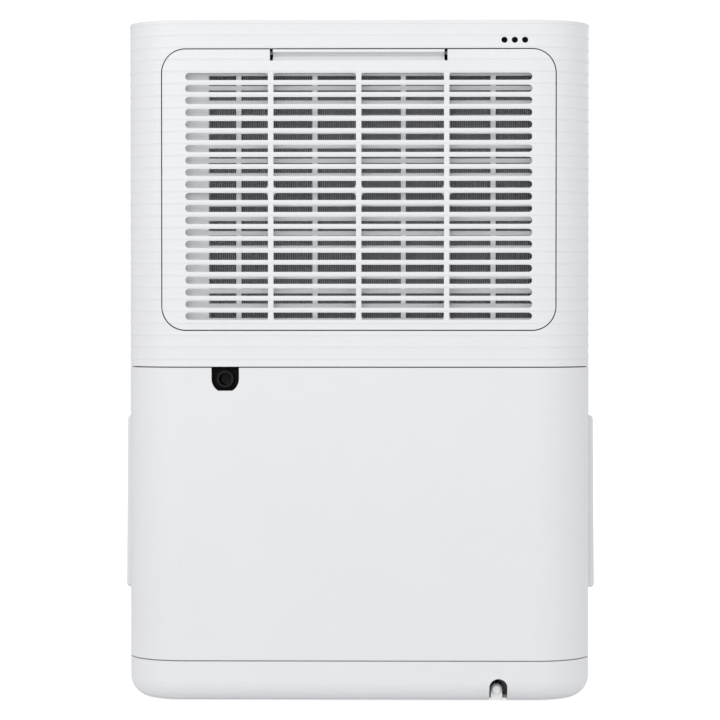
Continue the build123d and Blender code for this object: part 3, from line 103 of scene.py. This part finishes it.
# %% A surface value that Python can calculate with
class Tone:
    """A number that varies over a surface."""

    def __init__(self, finish, socket):
        self.finish = finish
        self.socket = socket

    def work(self, operation, first, second=0.0):
        made = self.finish.node("ShaderNodeMath", {"operation": operation}, {0: first, 1: second})
        return Tone(self.finish, made.outputs[0])

    def __add__(self, other):
        return self.work("ADD", self, other)

    def __radd__(self, other):
        return self.work("ADD", other, self)

    def __sub__(self, other):
        return self.work("SUBTRACT", self, other)

    def __rsub__(self, other):
        return self.work("SUBTRACT", other, self)

    def __mul__(self, other):
        return self.work("MULTIPLY", self, other)

    def __rmul__(self, other):
        return self.work("MULTIPLY", other, self)

    def __truediv__(self, other):
        return self.work("DIVIDE", self, other)

    def __rtruediv__(self, other):
        return self.work("DIVIDE", other, self)

    def __pow__(self, other):
        return self.work("POWER", self, other)

    def __rpow__(self, other):
        return self.work("POWER", other, self)

    def __abs__(self):
        return self.work("ABSOLUTE", self)

    def __lt__(self, other):
        return self.work("LESS_THAN", self, other)

    def __gt__(self, other):
        return self.work("GREATER_THAN", self, other)

    def __and__(self, other):
        return self.work("MINIMUM", self, other)

    def __or__(self, other):
        return self.work("MAXIMUM", self, other)

    def clamp(self):
        """The same number, kept between 0 and 1."""
        return (self & 1.0) | 0.0

    def repeat(self, step):
        """Distance to the nearest multiple of a step."""
        return self.work("PINGPONG", self, step / 2)


print("operators ready:", [name for name in vars(Tone) if name.startswith("__r")])

# %% [markdown]
# ## A finish
# A finish owns one material. It reads the object's own coordinates, which here are the machine's
# coordinates in metres, so a pattern keeps its true size on every piece and lines up across
# seams. `soft` rounds the shading of sharp moulded edges over a small radius, and `worn` is
# high on those edges, where hands and cloths polish the plastic.


# %% The finish class
def paint(red, green, blue):
    """A colour as seen on screen, from 0 to 255, made linear for the shader."""
    steps = [value / 255 for value in (red, green, blue)]
    linear = [step / 12.92 if step < 0.04045 else ((step + 0.055) / 1.055) ** 2.4 for step in steps]
    return (*linear, 1.0)


class Finish:
    """A material whose nodes are written as Python expressions."""

    def __init__(self, name):
        self.material = bpy.data.materials.new(name)
        self.material.use_nodes = True
        self.tree = self.material.node_tree
        self.tree.nodes.clear()
        output = self.tree.nodes.new("ShaderNodeOutputMaterial")
        self.shader = self.tree.nodes.new("ShaderNodeBsdfPrincipled")
        self.tree.links.new(self.shader.outputs[0], output.inputs["Surface"])
        self.place = self.node("ShaderNodeTexCoord").outputs["Object"]

    def node(self, kind, settings=None, sockets=None):
        """Any node: its type, its settings, then the values or links of its sockets."""
        made = self.tree.nodes.new(kind)
        for name, value in (settings or {}).items():
            setattr(made, name, value)
        self.feed(made, sockets or {})
        return made

    def feed(self, node, sockets):
        for name, value in sockets.items():
            source = value.socket if isinstance(value, Tone) else value
            if isinstance(source, bpy.types.NodeSocket):
                self.tree.links.new(source, node.inputs[name])
            else:
                node.inputs[name].default_value = source

    def surface(self, **sockets):
        """Sets or links the sockets of the shader: Base_Color feeds 'Base Color'."""
        self.feed(self.shader, {name.replace("_", " "): value for name, value in sockets.items()})
        return self.material

    def axes(self):
        """The place on the machine in millimetres, as x, y and z."""
        split = self.node("ShaderNodeSeparateXYZ", {}, {0: self.place})
        return [Tone(self, socket) * 1000 for socket in split.outputs]

    def noise(self, size, detail=2.0, stretch=(1, 1, 1)):
        """Soft random cloud whose patches are about size millimetres wide."""
        vector = self.place
        if stretch != (1, 1, 1):
            sockets = {"Vector": vector, "Scale": stretch}
            vector = self.node("ShaderNodeMapping", {}, sockets).outputs[0]
        sockets = {"Vector": vector, "Scale": 1000 / size, "Detail": detail}
        return Tone(self, self.node("ShaderNodeTexNoise", {}, sockets).outputs[0])

    def blend(self, share, first, second):
        """A colour between two others."""
        made = self.node("ShaderNodeMix", {"data_type": "RGBA"}, {0: share, 6: first, 7: second})
        return made.outputs[2]

    def soft(self, radius):
        """Normal with sharp edges rounded over a radius in millimetres."""
        return self.node("ShaderNodeBevel", {"samples": 4}, {"Radius": radius * MM}).outputs[0]

    def worn(self, rounded):
        """High where the rounded normal leaves the face, which is along edges."""
        flat = self.node("ShaderNodeNewGeometry").outputs["Normal"]
        dot = self.node("ShaderNodeVectorMath", {"operation": "DOT_PRODUCT"}, {0: rounded, 1: flat})
        return ((1 - Tone(self, dot.outputs["Value"])) * 4) & 1.0

    def bump(self, height, depth, normal=None):
        """Normal with a height from 0 to 1 pressed into it, depth in millimetres."""
        sockets = {"Strength": 1.0, "Distance": depth * MM, "Height": height}
        if normal is not None:
            sockets["Normal"] = normal
        return self.node("ShaderNodeBump", {}, sockets).outputs[0]


finishes = {}
print("a mid grey is", [round(value, 3) for value in paint(128, 128, 128)])

# %% [markdown]
# ## Floor and light
# The picture is lit like the inside of a white tent: the light comes from everywhere, so a white
# machine reads only by its seams and by a slow fall from top to bottom. The world gives that even
# glow, and the floor, lit from below like a light table and strongest round the machine, sends it
# up. A softbox beside the camera makes the fall, two more light the corners from high on each
# side, and a fourth shapes the front, which this picture doesn't show. Only the camera sees the
# floor and the background as pure white, which keeps them from glaring.

# %% Lay the floor
bpy.ops.object.select_all(action="DESELECT")
floor_size = 12.0
footprint_half = Vector((170.0, 120.0))
glow_reach = 1.8
glow_fade = 0.6
bpy.ops.mesh.primitive_plane_add(size=floor_size, location=(0, 0, 0))
floor = bpy.context.object
floor.name = "studio_floor"
floor_finish = Finish("floor_paper")
paper = floor_finish.noise(30.0)
x, y, z = floor_finish.axes()
spread = abs(x) / footprint_half.x | abs(y) / footprint_half.y
near = ((glow_reach - spread) / glow_fade).clamp()
lamp_below = floor_finish.blend(near, paint(122, 122, 122), paint(152, 152, 152))
seen = floor_finish.node("ShaderNodeLightPath").outputs["Is Camera Ray"]
floor.data.materials.append(
    floor_finish.surface(
        Base_Color=floor_finish.blend(paper, paint(218, 218, 219), paint(213, 213, 214)),
        Roughness=0.85 + 0.1 * paper,
        Emission_Color=floor_finish.blend(seen, lamp_below, (1, 1, 1, 1)),
        Emission_Strength=0.7,
    )
)
print("floor laid at height", floor.location.z)

# %% Hang the lights
tent_glow = 0.745
backdrop_glow = 1.05


def add_softbox(name, place, target, size, power):
    """A square lamp with a soft edge, aimed at a point and left out of the picture itself."""
    bpy.ops.object.light_add(type="AREA", location=place)
    box = bpy.context.object
    box.name = name
    box.data.size = size
    box.data.energy = power
    box.rotation_euler = (Vector(target) - box.location).to_track_quat("-Z", "Y").to_euler()
    box.visible_camera = False
    return box


key_box = add_softbox("key_softbox", (0.4, 1.5, 0.95), (0, 0.1, 0.3), 1.2, 6.2)
left_box = add_softbox("left_softbox", (1.4, 1.2, 1.2), (0, 0.1, 0.4), 0.4, 5.2)
right_box = add_softbox("right_softbox", (-1.2, 1.3, 1.2), (0, 0.1, 0.4), 0.8, 5.0)
front_box = add_softbox("front_softbox", (-0.7, -1.5, 1.1), (0, -0.1, 0.3), 1.2, 5.0)
world = bpy.data.worlds.new("studio_world")
bpy.context.scene.world = world
world.use_nodes = True
glow = world.node_tree.nodes["Background"]
glow.inputs["Color"].default_value = (1, 1, 1, 1)
glow.inputs["Strength"].default_value = tent_glow
backdrop = world.node_tree.nodes.new("ShaderNodeBackground")
backdrop.inputs["Color"].default_value = (1, 1, 1, 1)
backdrop.inputs["Strength"].default_value = backdrop_glow
rays = world.node_tree.nodes.new("ShaderNodeLightPath")
either = world.node_tree.nodes.new("ShaderNodeMixShader")
wires = world.node_tree.links
wires.new(rays.outputs["Is Camera Ray"], either.inputs[0])
wires.new(glow.outputs[0], either.inputs[1])
wires.new(backdrop.outputs[0], either.inputs[2])
wires.new(either.outputs[0], world.node_tree.nodes["World Output"].inputs["Surface"])
print("lights:", key_box.name, left_box.name, right_box.name, front_box.name, world.name)

# %% [markdown]
# ## Moulded plastics
# Most of the machine is injection-moulded. The mould is etched, which leaves a very fine grain
# that dulls the shine, and the colour drifts a little with the wall's thickness. One function
# makes every such plastic from a colour, a second shade, a roughness, the size of the grain and
# how much of the white tent the surface mirrors.


# %% One recipe for all moulded plastics
def moulded(slot, colour, shade, rough, grain=0.5, edge=0.45, shine=0.5):
    """Etched plastic: the size of the grain and the rounding of edges are in millimetres."""
    etch_depth = 0.006
    finish = Finish(slot)
    drift = finish.noise(55.0)
    grains = finish.noise(grain, detail=1.0)
    rounded = finish.soft(edge)
    finishes[slot] = finish.surface(
        Base_Color=finish.blend(drift, paint(*colour), paint(*shade)),
        Roughness=rough + 0.12 * grains + 0.06 * drift - 0.08 * finish.worn(rounded),
        Specular_IOR_Level=shine,
        Normal=finish.bump(grains, etch_depth, rounded),
    )


moulded("white_plastic", (222, 223, 225), (219, 220, 222), 0.38, edge=0.2)
moulded("cord_grey", (247, 248, 247), (242, 244, 242), 0.42, grain=0.8)
moulded("filter_grey", (238, 239, 241), (232, 233, 235), 0.45)
moulded("tray_plastic", (190, 191, 194), (180, 181, 184), 0.42, grain=0.8)
moulded("black_plastic", (17, 17, 18), (12, 12, 13), 0.4, grain=0.6, shine=0.2)
moulded("fan_plastic", (58, 59, 62), (48, 49, 52), 0.4)
moulded("float_plastic", (236, 236, 234), (228, 228, 226), 0.4)
print("moulded plastics:", sorted(finishes))

# %% [markdown]
# ## Gloss panel and buttons
# The control panel is polished, so it gets a clear coat over a faint pearl. The button caps are
# satin and carry printed signs. A sign could be a decal or a separate sheet, but it is only ink:
# a mask in the cap's own coordinates, built from circles, bars and slopes, and the ink colour
# shows where the mask is 1.

# %% Polished control panel
panel = Finish("panel_gloss")
pearl = panel.noise(0.25, detail=1.0)
sheen = panel.noise(40.0)
finishes["panel_gloss"] = panel.surface(
    Base_Color=panel.blend(pearl, paint(208, 210, 214), paint(199, 201, 206)),
    Roughness=0.2 + 0.08 * sheen,
    Coat_Weight=0.5,
    Coat_Roughness=0.06,
    Normal=panel.soft(0.4),
)
print("panel finish:", panel.material.name)


# %% Signs on the buttons, as masks
def ring(across, up, radius, width):
    """A circle drawn with a pen of a given width."""
    return abs((across * across + up * up) ** 0.5 - radius) < width / 2


def bar(across, up, left, right, low, high):
    """A filled rectangle."""
    return (across > left) & (across < right) & (up > low) & (up < high)


def power_sign(across, up):
    gap = bar(across, up, -1.1, 1.1, 0.0, 6.0)
    return (ring(across, up, 3.0, 0.7) & (1 - gap)) | bar(across, up, -0.35, 0.35, 0.4, 4.2)


def drop_sign(across, up):
    belly = ring(across, up + 1.0, 1.3, 2.6)
    tip = (abs(across) < (3.6 - up) * 0.55) & (up > -0.4)
    return belly | tip


def down_sign(across, up):
    return (abs(across) < (up + 2.4) * 0.8) & (up < 1.8)


def up_sign(across, up):
    return (abs(across) < (2.4 - up) * 0.8) & (up > -1.8)


def clock_sign(across, up):
    hands = bar(across, up, -0.3, 0.3, -0.3, 2.3) | bar(across, up, -0.3, 1.7, -0.3, 0.3)
    return ring(across, up, 3.4, 0.6) | hands


def printed_cap(node, sign):
    """Satin button cap with one sign printed in its middle."""
    low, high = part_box(node)
    middle = (low + high) / 2 / MM
    finish = Finish("control_white_" + node)
    x, y, z = finish.axes()
    grains = finish.noise(0.4, detail=1.0)
    ink = sign(x - middle.x, y - middle.y)
    satin = finish.blend(grains, paint(238, 239, 240), paint(230, 231, 233))
    rounded = finish.soft(0.3)
    nodes[node].data.materials[0] = finish.surface(
        Base_Color=finish.blend(ink, satin, paint(88, 92, 98)),
        Roughness=0.32 + 0.1 * grains + 0.15 * ink,
        Normal=finish.bump(grains, 0.004, rounded),
    )


signs = {
    "power_button": power_sign,
    "mode_button": drop_sign,
    "down_button": down_sign,
    "up_button": up_sign,
    "timer_button": clock_sign,
}
for cap, sign in signs.items():
    printed_cap(cap, sign)
print("printed caps:", sorted(signs))

# %% [markdown]
# ## Display and lamps
# The display is a dark window with two figures of seven bars each, which show the air's humidity.
# Each bar is one rectangle in the mask. The lamps are small lenses, and only the one beside the
# power button glows.

# %% Figures behind the dark window
bars = {
    "top": (-2.6, 2.6, 5.6, 7.0),
    "middle": (-2.6, 2.6, -0.7, 0.7),
    "bottom": (-2.6, 2.6, -7.0, -5.6),
    "high_left": (-3.9, -2.5, 0.6, 6.2),
    "high_right": (2.5, 3.9, 0.6, 6.2),
    "low_left": (-3.9, -2.5, -6.2, -0.6),
    "low_right": (2.5, 3.9, -6.2, -0.6),
}
figures = {
    "5": ("top", "high_left", "middle", "low_right", "bottom"),
    "0": ("top", "high_left", "high_right", "low_left", "low_right", "bottom"),
}
display_low, display_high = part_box("display_window")
display_middle = (display_low + display_high) / 2 / MM
display = Finish("display_dark")
x, y, z = display.axes()
figure_shift = 6.5
lit = None
for figure, centre in (("5", -figure_shift), ("0", figure_shift)):
    for name in figures[figure]:
        stroke = bar(x - (display_middle.x + centre), y - display_middle.y, *bars[name])
        lit = stroke if lit is None else lit | stroke
haze = display.noise(12.0)
finishes["display_dark"] = display.surface(
    Base_Color=display.blend(haze, paint(16, 17, 20), paint(22, 23, 27)),
    Roughness=0.08 + 0.05 * haze,
    Emission_Color=display.blend(lit, (0, 0, 0, 1), paint(214, 236, 245)),
    Emission_Strength=1.0,
)
print("bars lit:", sum(len(figures[figure]) for figure in "50"))

# %% Lamp lenses
lamp = Finish("lamp_lens")
x, y, z = lamp.axes()
power_x = (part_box("power_button")[0].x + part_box("power_button")[1].x) / 2 / MM
lamp_reach = 3.0
glowing = abs(x - power_x) < lamp_reach
frost = lamp.noise(0.3, detail=1.0)
finishes["lamp_lens"] = lamp.surface(
    Base_Color=lamp.blend(glowing, paint(206, 212, 208), paint(120, 205, 140)),
    Roughness=0.3 + 0.15 * frost,
    Emission_Color=lamp.blend(glowing, (0, 0, 0, 1), paint(90, 220, 120)),
    Emission_Strength=0.8,
)
print("lamp that glows sits at x =", round(power_x, 2), "mm")

# %% [markdown]
# ## Metals
# Sheet and turned metal shows the direction it was rolled or brushed in: noise stretched along
# one axis makes the streaks. Shafts and zinc-plated brackets share that recipe. The fins of the
# coil behind the filter carry painted shade: their colour darkens with depth behind the front
# edges, so only those edges stay bright. Copper tarnishes in cloudy patches that are both darker
# and duller.


# %% Rolled and brushed metals
def brushed(slot, colour, shade, rough, stretch):
    """Bare metal, whose streaks run along the axis with the smallest stretch."""
    streak_depth = 0.004
    edge = 0.15
    finish = Finish(slot)
    streaks = finish.noise(0.6, stretch=stretch)
    cloud = finish.noise(25.0)
    finishes[slot] = finish.surface(
        Base_Color=finish.blend(0.6 * streaks + 0.4 * cloud, paint(*colour), paint(*shade)),
        Metallic=1.0,
        Roughness=rough + 0.18 * streaks + 0.08 * cloud,
        Normal=finish.bump(streaks, streak_depth, finish.soft(edge)),
    )


brushed("steel", (186, 187, 190), (168, 169, 172), 0.25, (1, 0.05, 1))
brushed("zinc_steel", (178, 181, 184), (158, 161, 165), 0.36, (0.1, 1, 1))
brushed("capacitor_shell", (196, 198, 200), (180, 182, 185), 0.3, (1, 1, 0.04))
print("brushed metals:", [slot for slot in finishes if "steel" in slot or "shell" in slot])

# %% Fins of the two coils
fins = Finish("fin_aluminium")
x, y, z = fins.axes()
fin_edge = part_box("evaporator_fins")[1].y / MM
shade_depth = 2.5
fin_depth = 9.0
# painted shade: the fins' colour darkens over the first millimetres behind their front edges
painted_gap_shade = ((fin_edge - y) / shade_depth).clamp() * (y > fin_edge - fin_depth)
rolled = fins.noise(0.6, stretch=(1, 1, 0.03))
bright = fins.blend(rolled, paint(236, 238, 240), paint(222, 224, 228))
finishes["fin_aluminium"] = fins.surface(
    Base_Color=fins.blend(painted_gap_shade, bright, paint(186, 188, 192)),
    Metallic=0.2 + 0.1 * rolled,
    Roughness=0.45 + 0.2 * rolled,
    Normal=fins.bump(rolled, 0.004),
)
print("fin edges face the filter at y =", round(fin_edge, 1), "mm")

# %% Copper, enamel and ferrite
copper = Finish("copper")
tarnish = copper.noise(9.0, detail=4.0)
patches = ((tarnish - 0.42) * 5).clamp()
finishes["copper"] = copper.surface(
    Base_Color=copper.blend(patches, paint(214, 142, 106), paint(142, 88, 64)),
    Metallic=1.0 - 0.35 * patches,
    Roughness=0.28 + 0.3 * patches,
    Normal=copper.bump(tarnish, 0.02),
)
enamel = Finish("compressor_paint")
peel = enamel.noise(2.2, detail=1.0)
dust = enamel.noise(18.0, detail=3.0)
finishes["compressor_paint"] = enamel.surface(
    Base_Color=enamel.blend(dust, paint(30, 30, 32), paint(46, 46, 47)),
    Roughness=0.25 + 0.2 * dust,
    Coat_Weight=0.3,
    Normal=enamel.bump(peel, 0.02, enamel.soft(0.5)),
)
ferrite = Finish("magnet")
grit = ferrite.noise(0.5, detail=3.0)
finishes["magnet"] = ferrite.surface(
    Base_Color=ferrite.blend(grit, paint(70, 70, 72), paint(48, 48, 50)),
    Metallic=0.4,
    Roughness=0.5 + 0.2 * grit,
    Normal=ferrite.bump(grit, 0.02, ferrite.soft(0.3)),
)
print("finishes so far:", len(finishes))

# %% [markdown]
# ## Rubber, foam and circuit boards
# Rubber is dark and almost without shine, with a slight bloom. Foam shows its cut cells, which a
# cell pattern presses into the surface. A board is green lacquer over copper tracks: the tracks
# stand a little proud, so a brick-like line pattern gives both the lighter lines and the relief.

# %% Soft and sheet materials
rubber = Finish("rubber")
bloom = rubber.noise(6.0, detail=3.0)
tooth = rubber.noise(0.4, detail=1.0)
finishes["rubber"] = rubber.surface(
    Base_Color=rubber.blend(bloom, paint(44, 44, 45), paint(60, 60, 60)),
    Roughness=0.7 + 0.15 * tooth,
    Normal=rubber.bump(tooth, 0.015, rubber.soft(0.6)),
)
foam = Finish("float_foam")
cell_size = {"Vector": foam.place, "Scale": 900.0}
cells = foam.node("ShaderNodeTexVoronoi", {"feature": "F1"}, cell_size)
cell = Tone(foam, cells.outputs["Distance"])
finishes["float_foam"] = foam.surface(
    Base_Color=foam.blend(cell, paint(244, 243, 236), paint(222, 220, 210)),
    Roughness=0.75 + 0.15 * cell,
    Normal=foam.bump(cell, 0.12, foam.soft(1.0)),
)
board = Finish("board_green")
lane_size = {"Scale": 160.0, "Mortar Size": 0.035, "Brick Width": 0.9, "Row Height": 0.22}
lanes = board.node(
    "ShaderNodeTexBrick",
    {"offset": 0.37, "squash": 0.6},
    {"Vector": board.place, **lane_size},
)
track = Tone(board, lanes.outputs["Fac"])
finishes["board_green"] = board.surface(
    Base_Color=board.blend(track, paint(24, 92, 58), paint(58, 132, 84)),
    Roughness=0.32 + 0.12 * track,
    Normal=board.bump(track, 0.03),
)
print("soft and sheet finishes:", ["rubber", "float_foam", "board_green"])

# %% [markdown]
# ## Clear plastics
# The bucket and its lid are translucent: light goes through, but the moulded skin scatters it.
# The level window is clear and carries a scale of short lines, printed like the signs on the
# buttons. The share of light that passes is the same all over, so it is set on the shader itself.

# %% Bucket, lid and level window
bucket = Finish("tank_clear")
flow = bucket.noise(35.0, detail=3.0, stretch=(1, 1, 0.3))
skin = bucket.noise(0.8, detail=1.0)
finishes["tank_clear"] = bucket.surface(
    Base_Color=bucket.blend(flow, paint(226, 234, 238), paint(214, 225, 231)),
    Roughness=0.22 + 0.15 * flow,
    Transmission_Weight=0.75,
    IOR=1.49,
    Normal=bucket.bump(skin, 0.01),
)
window = Finish("window_clear")
x, y, z = window.axes()
window_low, window_high = (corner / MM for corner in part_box("tank_window"))
scale_step = 12.0
scale_margin = 6.0
line_half = 0.45
line_left = window_low.x + 2.0
line_right = window_low.x + 7.0
scale_start = window_low.z + scale_margin
scale_end = window_high.z - scale_margin
scale_line = (z - window_low.z).repeat(scale_step) < line_half
ink = scale_line & bar(x, z, line_left, line_right, scale_start, scale_end)
ripple = window.noise(20.0)
finishes["window_clear"] = window.surface(
    Base_Color=window.blend(ink, paint(188, 204, 214), paint(60, 66, 72)),
    Roughness=0.06 + 0.05 * ripple + 0.4 * ink,
    Transmission_Weight=0.6,
    IOR=1.49,
)
print("scale on the window runs from", round(scale_start), "to", round(scale_end), "mm")

# %% [markdown]
# ## The net in the air filter
# The filter is a moulded frame with a fine net welded to its inner side. In the solids the net is
# one thin plate. A see-through pattern could be painted on that plate, but a real net is threads
# with air between them, so one thread is modelled, repeated across the frame, and crossed by a
# second set just behind the first. A flat hem runs round the edge, where the net is welded.

# %% Model the threads and the hem
net_low, net_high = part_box("filter_mesh")
net_size = net_high - net_low
net_middle = (net_high + net_low) / 2
thread_width = 0.07 * MM
thread_step = 0.9 * MM
thread_corner = 0.28 * thread_width
hem_width = 1.6 * MM


def lay_threads(name, along, across, depth):
    """One slim eight-sided thread, repeated side by side over the whole net."""
    bpy.ops.object.select_all(action="DESELECT")
    size = [thread_width] * 3
    size[along] = net_size[along]
    start = Vector(net_middle)
    start.y = depth
    start[across] = net_low[across] + thread_step
    bpy.ops.mesh.primitive_cube_add(size=1.0, location=start, scale=size)
    thread = bpy.context.object
    thread.name = name
    bpy.ops.object.transform_apply(location=True, rotation=True, scale=True)
    bpy.ops.object.mode_set(mode="EDIT")
    bpy.ops.mesh.select_mode(type="EDGE")
    bpy.ops.mesh.select_all(action="DESELECT")
    bpy.ops.object.mode_set(mode="OBJECT")
    for edge in thread.data.edges:
        ends = [thread.data.vertices[index].co for index in edge.vertices]
        edge.select = abs(ends[0][along] - ends[1][along]) > thread_width * 2
    bpy.ops.object.mode_set(mode="EDIT")
    bpy.ops.mesh.bevel(offset=thread_corner, segments=1)
    bpy.ops.object.mode_set(mode="OBJECT")
    repeat = thread.modifiers.new("side_by_side", "ARRAY")
    repeat.use_relative_offset = False
    repeat.use_constant_offset = True
    offset = [0.0, 0.0, 0.0]
    offset[across] = thread_step
    repeat.constant_offset_displace = offset
    repeat.count = int(net_size[across] / thread_step) - 1
    bpy.ops.object.modifier_apply(modifier=repeat.name)
    return thread


upright = lay_threads("upright_threads", 2, 0, net_middle.y + thread_width / 2)
level = lay_threads("level_threads", 0, 2, net_middle.y - thread_width / 2)
bpy.ops.object.select_all(action="DESELECT")
bpy.ops.mesh.primitive_plane_add(size=1.0, location=net_middle, rotation=(math.pi / 2, 0, 0))
hem = bpy.context.object
hem.scale = (net_size.x, net_size.z, 1.0)
bpy.ops.object.transform_apply(location=True, rotation=True, scale=True)
bpy.ops.object.mode_set(mode="EDIT")
bpy.ops.mesh.select_all(action="SELECT")
bpy.ops.mesh.inset(thickness=hem_width)
bpy.ops.mesh.delete(type="FACE")
bpy.ops.object.mode_set(mode="OBJECT")
wall = hem.modifiers.new("hem_wall", "SOLIDIFY")
wall.thickness = net_size.y
wall.offset = 0.0
bpy.ops.object.modifier_apply(modifier=wall.name)
for piece in (upright, level, hem):
    piece.select_set(True)
bpy.context.view_layer.objects.active = hem
bpy.ops.object.join()
net = bpy.context.object
net.name = "filter_net"
bpy.context.scene.cursor.location = (0, 0, 0)
bpy.ops.object.origin_set(type="ORIGIN_CURSOR")
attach(net, "grille")
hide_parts("filter_mesh")
print("net:", len(net.data.polygons), "faces, size", [round(value, 4) for value in net.dimensions])

# %% Nylon for the net
nylon = Finish("filter_net")
fuzz = nylon.noise(3.0, detail=3.0)
net.data.materials.clear()
net.data.materials.append(
    nylon.surface(
        Base_Color=nylon.blend(fuzz, paint(150, 151, 154), paint(168, 169, 172)),
        Roughness=0.5 + 0.2 * fuzz,
        Normal=nylon.bump(fuzz, 0.01),
    )
)
print("net finish:", nylon.material.name)

# %% [markdown]
# ## Dress the solids
# Each solid came in with a plain stand-in material named after its slot. The finished materials
# take those places. Button caps already have theirs, because each carries its own sign.

# %% Give every solid its finish
dressed = 0
for name, node in nodes.items():
    for index, stand_in in enumerate(node.data.materials):
        slot = stand_in.name.split(".")[0] if stand_in else ""
        if slot in finishes:
            node.data.materials[index] = finishes[slot]
            dressed += 1
done = list(finishes.values())
expected = set(nodes) - set(signs) - {"filter_mesh"}
bare = [name for name in sorted(expected) if nodes[name].data.materials[0] not in done]
print("dressed:", dressed, "left bare:", bare)

# %% [markdown]
